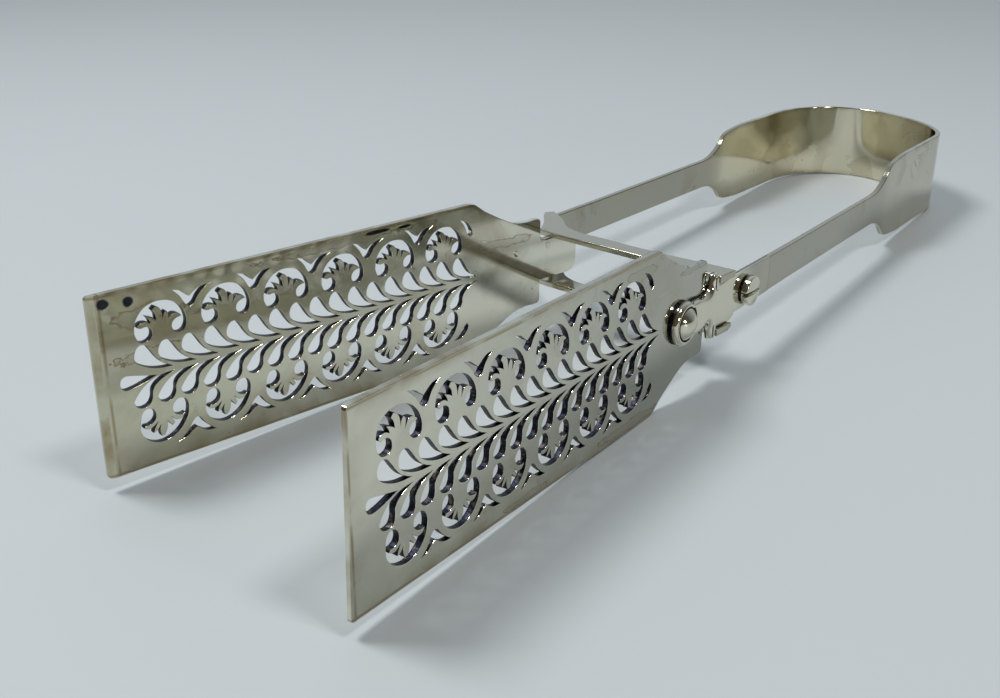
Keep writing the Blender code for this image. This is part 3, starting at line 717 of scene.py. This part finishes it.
def fiddle_rise(share):
    """The rise of the fiddle shoulder at a share of its length, in a smooth curve through its points."""
    last = len(FIDDLE_SHARES) - 1
    k = next(n for n in range(last) if share <= FIDDLE_SHARES[n + 1][0])
    before, after = FIDDLE_SHARES[max(0, k - 1)], FIDDLE_SHARES[min(last, k + 2)]
    (x0, h0), (x1, h1) = FIDDLE_SHARES[k], FIDDLE_SHARES[k + 1]
    slope0 = (h1 - before[1]) / (x1 - before[0])
    slope1 = (after[1] - h0) / (after[0] - x0)
    span = x1 - x0
    t = (share - x0) / span
    return ((2 * t ** 3 - 3 * t ** 2 + 1) * h0 + (t ** 3 - 2 * t ** 2 + t) * span * slope0
            + (-2 * t ** 3 + 3 * t ** 2) * h1 + (t ** 3 - t ** 2) * span * slope1)


def fiddle_height(x, side, front_x, front_half):
    """Half the height of a strip at x: stem, fiddle shoulder and bow."""
    half_stem = STEM_HEIGHT / 2
    if x < STEM_TAPER_X:
        share = max(0.0, (x - front_x) / (STEM_TAPER_X - front_x))
        return front_half + (half_stem - front_half) * min(1.0, share)
    share = (x - SHOULDER_X[side]) / SHOULDER_LENGTH
    if share <= 0:
        return half_stem
    if share >= 1:
        return BOW_HEIGHT / 2
    return half_stem + (BOW_HEIGHT / 2 - half_stem) * fiddle_rise(share)


def strip_stations(line, low_of, high_of, half_of):
    """Stations along a middle line, each with its heading, faces and height."""
    stations = []
    for k, place in enumerate(line):
        heading = (line[min(k + 1, len(line) - 1)] - line[max(k - 1, 0)]).normalized()
        stations.append((place, heading, low_of(place.x), high_of(place.x), half_of(place.x)))
    return stations


def half_bow(into_bow):
    """The bow's middle line from where a stem runs in, up to its own middle."""
    line = [bow_point(angle) for angle in spread(into_bow, BOW_TURN, STATION / BOW_RADIUS)]
    return line + [bow_point(BOW_TURN)]


def make_left_strip():
    """The near half of the strip. It is half as thick where the head plate laps over it."""
    half = STRIP_THICK / 2
    start = arm_point(LEFT, LAP_START_X - GAP, HEAD_INSET + half)
    into_bow = stem_angle(LEFT, start)
    joint = bow_point(into_bow)
    seam = arm_point(LEFT, LAP_END_X - SEAT, HEAD_INSET + half)
    line = [start + (seam - start) * k / LAP_STATIONS for k in range(LAP_STATIONS)]
    line += [seam - (seam - start).normalized() * LAP_STEP]
    length = (joint - seam).length
    line += [seam + (joint - seam) * s / length for s in spread(0.0, length)]
    stations = strip_stations(line + half_bow(into_bow), lambda x: -half,
                              lambda x: half if x > seam.x - LAP_STEP / 2 else -GAP / 2,
                              lambda x: fiddle_height(x, LEFT, LAP_START_X, STEM_FRONT_HEIGHT / 2))
    work = bent_strip(stations, LEFT)
    piece = finish_piece("spring_left", work, [strip_silver], None, ["left_arm_strip", "bow_crown"])
    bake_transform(piece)
    return piece


def right_line():
    """The right strip seen from above: pad, crank and straight stem."""
    into_bow = stem_angle(RIGHT, RIGHT_STEM)
    slope = math.tan(into_bow - math.pi / 2)
    pad_start = arm_point(RIGHT, -PAD_LENGTH, HEAD_INSET + STRIP_THICK / 2)
    line = []
    for x in spread(pad_start.x, CRANK_X + CRANK_LENGTH, STATION / 2):
        t = min(1.0, max(0.0, (x - CRANK_X) / CRANK_LENGTH))
        share = t * t * (3 - 2 * t)
        front = pad_start.y - (x - pad_start.x) * math.tan(SPLAY)
        back = RIGHT_STEM.y + (x - RIGHT_STEM.x) * slope
        line.append(Vector((x, front + (back - front) * share)))
    return line, into_bow


def pad_half(x):
    """Half the height of the right strip: pad with rounded corners, then stem."""
    pad_start = -PAD_LENGTH
    front_half = STEM_FRONT_HEIGHT / 2
    if x < pad_start + PAD_CORNER:
        t = 1 - max(0.0, x - pad_start) / PAD_CORNER
        return PAD_HEIGHT / 2 - PAD_CORNER * (1 - math.sqrt(max(0.0, 1 - t * t)))
    if x < -PAD_FALL:
        return PAD_HEIGHT / 2
    if x < -PAD_FOOT:
        t = (x + PAD_FALL) / PAD_CORNER
        return front_half + (PAD_HEIGHT / 2 - front_half) * 0.5 * (1 + math.cos(math.pi * t))
    return fiddle_height(x, RIGHT, CRANK_X, front_half)


def make_right_strip():
    """The far half of the strip, with the pad on the blade and the crank."""
    half = STRIP_THICK / 2
    line, into_bow = right_line()
    joint = bow_point(into_bow)
    corner = line[-1]
    length = (joint - corner).length
    line += [corner + (joint - corner) * s / length for s in spread(0.0, length)][1:]
    stations = strip_stations(line + half_bow(into_bow), lambda x: -half, lambda x: half, pad_half)
    work = bent_strip(stations, RIGHT)
    piece = finish_piece("spring_right", work, [strip_silver], None, ["right_arm_strip", "bow_crown"])
    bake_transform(piece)
    return piece


# Blades

def scrolls(side):
    """The scrolls of one blade, six above the vein and six below, as unevenly sawn as in the part."""
    outlines = []
    for upper, squares in ((True, SCROLL_SQUARES), (False, LOW_SCROLL_SQUARES)):
        turn = 1 if upper else -1
        for k in range(SCROLL_COUNT):
            count = k + 2 + upper
            shift = HAND_WANDER * math.sin(count * count + count)
            start = FIRST_SCROLL + k * SCROLL_PITCH
            outlines.append([Vector((BLADE_TIP_X + (start + x + turn * SLANT[side] * y) * SQUARE,
                                     turn * (y + shift) * SQUARE)) for x, y in squares])
    return outlines


def blade_outlines(side, node_name, outer):
    """The part's own rim, leaves and small cuts, smoothed, with finer scrolls."""
    to_local = (PLACE @ arm_frame(side)).inverted()
    drawn = []
    for chain in outlines_at(nodes[node_name], to_local, outer * BLADE_THICK, outer > 0):
        if length_along(chain) > NECK_GAP:
            drawn.append(chain)
        elif min(point.x for point in chain) < PIERCING_END_X and length_along(chain) < SCROLL_LONGEST:
            drawn.append(smooth_loop(chain))
    return drawn + [smooth_loop(chain) for chain in scrolls(side)]


def blade_sheet(name, side, outlines):
    """A flat sheet cut to the outlines, with softened edges and a tip cut at its small turn."""
    curve = bpy.data.curves.new(name, "CURVE")
    curve.dimensions = "2D"
    curve.fill_mode = "BOTH"
    curve.extrude = BLADE_THICK / 2 - BLADE_EDGE
    curve.bevel_depth = BLADE_EDGE
    curve.bevel_resolution = 2
    curve.offset = -BLADE_EDGE
    for outline in outlines:
        spline = curve.splines.new("POLY")
        spline.points.add(len(outline) - 1)
        for point, spot in zip(spline.points, outline):
            near = max(0.0, 1 - (spot.x - BLADE_TIP_X) / TIP_REACH)
            point.co = (spot.x + near * (TIP_SHIFT[side] + TIP_SLANT[side] * spot.y), spot.y, 0, 1)
        spline.use_cyclic_u = True
    sketch = bpy.data.objects.new(name + "_sketch", curve)
    bpy.context.scene.collection.objects.link(sketch)
    return take_mesh(sketch)


def bevel_tip(work, side, outer):
    """Cut the outer face down towards the tip in two steps that round it."""
    slope = math.atan2(TIP_BEVEL_DEPTH, TIP_BEVEL_WIDTH)
    tilt = math.atan(TIP_SLANT[side])
    for slope_share, width_share in TIP_BEVEL_CUTS:
        lean = slope_share * slope
        corner = (BLADE_TIP_X + TIP_SHIFT[side] + width_share * TIP_BEVEL_WIDTH, 0, 0)
        normal = Matrix.Rotation(-tilt, 3, "Z") @ Vector((-math.sin(lean), 0, -outer * math.cos(lean)))
        bmesh.ops.bisect_plane(work, geom=[*work.verts, *work.edges, *work.faces], plane_co=corner,
                               plane_no=normal, clear_outer=True)
        rim = [edge for edge in work.edges if edge.is_boundary]
        bmesh.ops.contextual_create(work, geom=rim)


def make_blade(side, name, node_name, body, finish):
    """A pierced blade with smooth outlines, softened edges and sawn walls painted dark as shade."""
    outer = 1 if side == LEFT else -1
    work = bmesh.new()
    work.from_mesh(blade_sheet(name, side, blade_outlines(side, node_name, outer)))
    bmesh.ops.remove_doubles(work, verts=work.verts, dist=2 * WELD)
    bmesh.ops.recalc_face_normals(work, faces=work.faces)
    bmesh.ops.translate(work, verts=work.verts, vec=(0, 0, outer * BLADE_THICK / 2))
    for face in work.faces:
        facing_out = abs(face.normal.z)
        face.smooth = facing_out <= FACE_ON
        middle = face.calc_center_median()
        on_rim = (abs(middle.y) > BLADE_HALF_HEIGHT - OUTER_WALL or middle.x < BLADE_TIP_X + TIP_WALL
                  or middle.x > PIERCING_END_X)
        # Walls away from the rim take the painted shade
        face.material_index = 0 if on_rim or facing_out > WALL_ON else 1
    bevel_tip(work, side, outer)
    band = BLADE_HALF_HEIGHT - TONED_BAND
    keep_flow(work, edge_of=lambda co: max(0.0, (abs(co.y) - band) / TONED_BAND))
    work.transform(arm_frame(side))
    return finish_piece(name, work, [finish, walls], body, [node_name], False)


# Head of the left arm

def plate_round(point):
    """How far a rim of the head plate is rounded: most in front of the horn, least at the lap and hole."""
    hole_rim = BOSS_RADIUS + BOSS_GROOVE + HOLE_EDGE
    if (point - Vector((LOBE_X, -HEAD_DROP))).length < hole_rim:
        return HOLE_EDGE
    share = min(1.0, max(0.0, (point.x - HORN_X - 2 * HORN_LENGTH) / CHEEK_LENGTH))
    near = PLATE_EDGE + HORN_EDGE * math.exp(-((point.x - HORN_EDGE_X) / HORN_EDGE_WIDTH) ** 2)
    return near + (LAP_EDGE - near) * share


def make_head_plate():
    """Keyhole plate, heavily rounded, with a foot of painted contact shade and a hole for the boss and its
    groove.
    """
    place = arm_frame(LEFT)
    chains = outlines_at(nodes["left_head_plate"], (PLACE @ place).inverted(), HEAD_OUTSET, True)
    rim = smooth_loop(max(chains, key=length_along))
    radius = BOSS_RADIUS + BOSS_GROOVE
    turns = [-k * math.pi / 32 for k in range(64)]
    hole = [Vector((LOBE_X + radius * math.cos(a), radius * math.sin(a) - HEAD_DROP)) for a in turns]
    work = rounded_plate([rim, hole], BLADE_THICK + SEAT, HEAD_OUTSET, plate_round, PLATE_BACK_EDGE,
                         PLATE_FOOT)
    lap_level = HEAD_OUTSET - STRIP_THICK / 2
    # Towards the lap the plate turns to the strip's dull colour, which is partly a painted reflection of
    # shaded floor
    tarnish_and_shade = work.verts.layers.float.new("tarnish_and_shade")
    for vertex in work.verts:
        if vertex.co.x > LAP_START_X:
            vertex.co.z = max(vertex.co.z, lap_level)
        vertex[tarnish_and_shade] = min(1.0, max(0.0, (vertex.co.x - LAP_START_X) / (0.5 * LAP_LENGTH)))
    keep_flow(work)
    work.transform(place)
    return finish_piece("head_plate", work, [head_silver, walls], "left_arm", ["left_head_plate"],
                        False)


def make_boss():
    """Domed rivet seated in the groove of the lobe, headed over on the inner face of the blade."""
    top = HEAD_OUTSET
    groove_floor = top - GROOVE_DEPTH
    groove_radius = BOSS_RADIUS + 1.1 * BOSS_GROOVE
    shares = [k / DOME_STEPS for k in range(DOME_STEPS)]
    profile = [(BOSS_RADIUS * share, top + DOME_RISE * (1 - share ** 2)) for share in shares]
    profile += [(BOSS_RADIUS - 2 * SEAT, top + SEAT), (BOSS_RADIUS, top - BOSS_LIP),
                (BOSS_RADIUS, groove_floor), (groove_radius, groove_floor), (groove_radius, BLADE_THICK),
                (BOSS_SHANK, BLADE_THICK), (BOSS_SHANK, 0.0)]
    work = bmesh.new()
    for face in lathe(work, profile + BOSS_TAIL):
        middle = face.calc_center_median()
        # Faces in the groove round the dome are painted dark as shade
        in_groove = groove_floor - BOSS_LIP < middle.z < top - SEAT
        face.material_index = 1 if in_groove and middle.xy.length > 0.98 * BOSS_RADIUS else 0
    bmesh.ops.translate(work, verts=work.verts, vec=(LOBE_X, -HEAD_DROP, 0))
    keep_flow(work)
    work.transform(arm_frame(LEFT))
    return finish_piece("boss_rivet", work, [head_silver, walls], "left_arm", ["left_boss_rivet"],
                        False)


def screw_blank(low, high):
    """The turned screw, with its dome, soft rim and undercut, before its slot is cut."""
    under = SCREW_RADIUS - SEAT_LINE
    flat = SCREW_RADIUS - SCREW_RIM
    profile = [(0, high + SCREW_DOME)]
    profile += [(flat * k / 6, high + SCREW_DOME * math.cos(k * math.pi / 12)) for k in range(1, 6)]
    profile += [(flat + SCREW_RIM * math.sin(a), high - SCREW_RIM + SCREW_RIM * math.cos(a) + SEAT)
                for a in (math.radians(18 * k) for k in range(6))]
    profile += [(SCREW_RADIUS, low + SCREW_RIM), (under, low + SEAT_LINE), (under, low + SCREW_SEAT),
                (SCREW_SHANK, low + SCREW_SEAT), (SCREW_SHANK, HEAD_INSET), (0, HEAD_INSET)]
    work = bmesh.new()
    lathe(work, profile)
    return add_object("screw_blank", work)


def slot_cutter(level):
    """A bar across the screw's head."""
    work = bmesh.new()
    bmesh.ops.create_cube(work, size=1.0)
    bmesh.ops.scale(work, vec=(4 * SCREW_RADIUS, SLOT_WIDTH, 2 * SLOT_DEPTH), verts=work.verts)
    bmesh.ops.rotate(work, matrix=Matrix.Rotation(SLOT_TURN, 3, "Z"), verts=work.verts)
    bmesh.ops.translate(work, vec=(0, 0, level), verts=work.verts)
    return add_object("slot_cut", work)


def make_screw():
    """Cheese-head screw with a slot and a softened rim; the slot and a line where it seats are painted dark
    as shade.
    """
    low, high = HEAD_OUTSET, HEAD_OUTSET + GAP + SCREW_RISE
    top = high + SCREW_DOME
    head = screw_blank(low, high)
    cutter = slot_cutter(top)
    cut = head.modifiers.new("slot", "BOOLEAN")
    cut.object = cutter
    cut.solver = "EXACT"
    soften = head.modifiers.new("soften", "BEVEL")
    soften.width = SLOT_EDGE
    soften.segments = 2
    soften.limit_method = "ANGLE"
    soften.angle_limit = SLOT_EDGE_ANGLE
    mesh = take_mesh(head)
    bpy.data.objects.remove(cutter, do_unlink=True)

    work = bmesh.new()
    work.from_mesh(mesh)
    across = Matrix.Rotation(-SLOT_TURN, 3, "Z")
    for face in work.faces:
        face.smooth = True
        middle = face.calc_center_median()
        between = abs((across @ middle).y) < SLOT_WIDTH / 2 + SCREW_SEAT / 2
        in_slot = between and top - SLOT_DEPTH - SCREW_SEAT < middle.z < high - SLOT_LIP
        seated = middle.z < low + SEAT_LINE + SCREW_SEAT
        # The slot's faces and a line where the head seats are painted dark as shade
        face.material_index = 1 if in_slot or seated else 0
    bmesh.ops.translate(work, verts=work.verts, vec=(SCREW_X, -SCREW_DROP, 0))
    keep_flow(work)
    work.transform(arm_frame(LEFT))
    return finish_piece("lap_screw", work, [head_silver, walls], "left_arm", ["left_screw"],
                        False)


# Guide and pins

def fuller_web(point, line):
    """A point of a strap's outline, moved out along the crank where the web is fuller than in the part."""
    crank = min(line, key=lambda spot: abs(spot.x - point.x))
    if point.y < INNER_Y + BLADE_THICK or point.y < crank.y or point.x > crank.x + STRIP_THICK:
        return point
    front = max(0.0, (point.x - WEB_FRONT_X) / WEB_FRONT_RAMP)
    rear = max(0.0, (WEB_REAR_X - point.x) / WEB_REAR_RAMP)
    return point + WEB_OUTWARD * WEB_REACH * min(1.0, front, rear)


def make_strap(name, node_name, turn):
    """Guide strap with rounded edges, closed up to the left arm and spreading along the crank."""
    low = turn * (STRAP_SPACING + STRAP_THICK) / 2 - HEAD_DROP - STRAP_THICK / 2
    line, _ = right_line()
    chains = outlines_at(nodes[node_name], PLACE.inverted(), low + STRAP_THICK, True)
    loop = smooth_loop([fuller_web(point, line) for point in max(chains, key=len)])
    near = -(INNER_Y + HEAD_INSET)
    work = rounded_plate([loop], low, low + STRAP_THICK,
                         lambda point: STRAP_END_EDGE if point.y < near else STRAP_EDGE, STRAP_END_EDGE)
    end = max(vertex.co.x for vertex in work.verts if vertex.co.y < near)
    for vertex in work.verts:
        if vertex.co.y > near + STRIP_THICK:
            continue
        share = (vertex.co.z - low) / STRAP_THICK
        if turn < 0:
            short = min(1.0, max(0.0, 1 - (end - vertex.co.x) / STRAP_CORNER))
            vertex.co.z += STRAP_CORNER * (1 - math.sqrt(1 - short * short)) * (1 - share)
        vertex.co.z -= turn * STRAP_CLOSING * (share if turn < 0 else 1 - share)
    keep_flow(work, lambda co: (co.y, co.x, co.z))
    return finish_piece(name, work, [guide_silver], "right_arm", [node_name], False)


def make_pins():
    """Two pins filed flush with the inner face of the far blade and headed over outside."""
    head = [(radius, HEAD_OUTSET + level) for radius, level in PIN_HEAD]
    work = bmesh.new()
    for x in PINS_X:
        made = lathe(work, PIN_FACE + [(PIN_SHANK, HEAD_OUTSET)] + head, 32)
        verts = list({vertex for face in made for vertex in face.verts})
        bmesh.ops.transform(work, matrix=facing(RIGHT, x, PINS_UP, 0), verts=verts)
    keep_flow(work)
    return finish_piece("blade_pins", work, [right_silver], "right_arm",
                        ["right_front_rivet", "right_rear_rivet"], False)


make_left_strip()
make_right_strip()
make_blade(LEFT, "blade_left", "left_blade", "left_arm", left_silver)
make_blade(RIGHT, "blade_right", "right_blade", "right_arm", right_silver)
make_head_plate()
make_boss()
make_screw()
make_strap("strap_upper", "guide_upper_strap", 1)
make_strap("strap_lower", "guide_lower_strap", -1)
make_pins()

# The part's own solids, which the pieces stand in for
for node in nodes.values():
    node.data.materials.clear()
    node.data.materials.append(head_silver)


# Table, light and camera

def lay_table():
    """A plain pale table top."""
    work = bmesh.new()
    bmesh.ops.create_grid(work, x_segments=1, y_segments=1, size=FLOOR_REACH)
    floor = add_object("floor", work)
    material, _, shader = shader_nodes("table_top")
    shader.inputs["Base Color"].default_value = FLOOR_COLOUR
    shader.inputs["Roughness"].default_value = FLOOR_ROUGHNESS
    floor.data.materials.append(material)


def light_room():
    """A dim warm room that turns to cool window light on one side."""
    world = bpy.data.worlds.new("studio")
    bpy.context.scene.world = world
    world.use_nodes = True
    g = Graph(world.node_tree)
    toward = g.node("VectorMath", operation="DOT_PRODUCT")
    g.feed(toward.inputs[0], g.node("TexCoord").outputs["Generated"])
    g.feed(toward.inputs[1], BRIGHT_SIDE)
    sky = g.mix(g.ramp(toward.outputs["Value"], -0.3, 0.9), ROOM, WINDOW)
    g.tree.links.new(sky, world.node_tree.nodes["Background"].inputs[0])


def area(name, place, target, size, power):
    """A square soft lamp that looks at the target."""
    data = bpy.data.lights.new(name, "AREA")
    data.shape = "RECTANGLE"
    data.size, data.size_y = size, size
    data.energy = power
    lamp = bpy.data.objects.new(name, data)
    bpy.context.scene.collection.objects.link(lamp)
    lamp.location = place
    lamp.rotation_mode = "QUATERNION"
    lamp.rotation_quaternion = (Vector(target) - Vector(place)).to_track_quat("-Z", "Y")


def aim_camera():
    """The photograph's view, worked out in the level frame."""
    ahead = Vector((math.cos(PITCH) * math.cos(YAW), math.cos(PITCH) * math.sin(YAW), -math.sin(PITCH)))
    level = Vector((math.sin(YAW), -math.cos(YAW), 0))
    above = level.cross(ahead)
    right = math.cos(ROLL) * level + math.sin(ROLL) * above
    up = -math.sin(ROLL) * level + math.cos(ROLL) * above
    data = bpy.data.cameras.new("camera")
    data.sensor_width = SENSOR_WIDTH
    data.lens = FOCAL_PIXELS * SENSOR_WIDTH / PHOTO_WIDTH
    data.clip_start = NEAREST
    camera = bpy.data.objects.new("camera", data)
    bpy.context.scene.collection.objects.link(camera)
    turned = Matrix((right, up, -ahead)).transposed().to_4x4()
    camera.matrix_world = PLACE @ Matrix.Translation(EYE) @ turned
    bpy.context.scene.camera = camera


lay_table()
light_room()
area("soft_top", (-0.24, 0.36, 0.80), (0, 0, 0), 0.26, 4.6)
area("soft_near", (-0.05, -0.40, 0.72), (0, 0, 0), 0.14, 1.9)
area("low_near", (-0.02, -0.85, 0.18), (0, 0, 0.01), 0.10, 0.8)
aim_camera()

bpy.context.scene.view_settings.view_transform = "Standard"
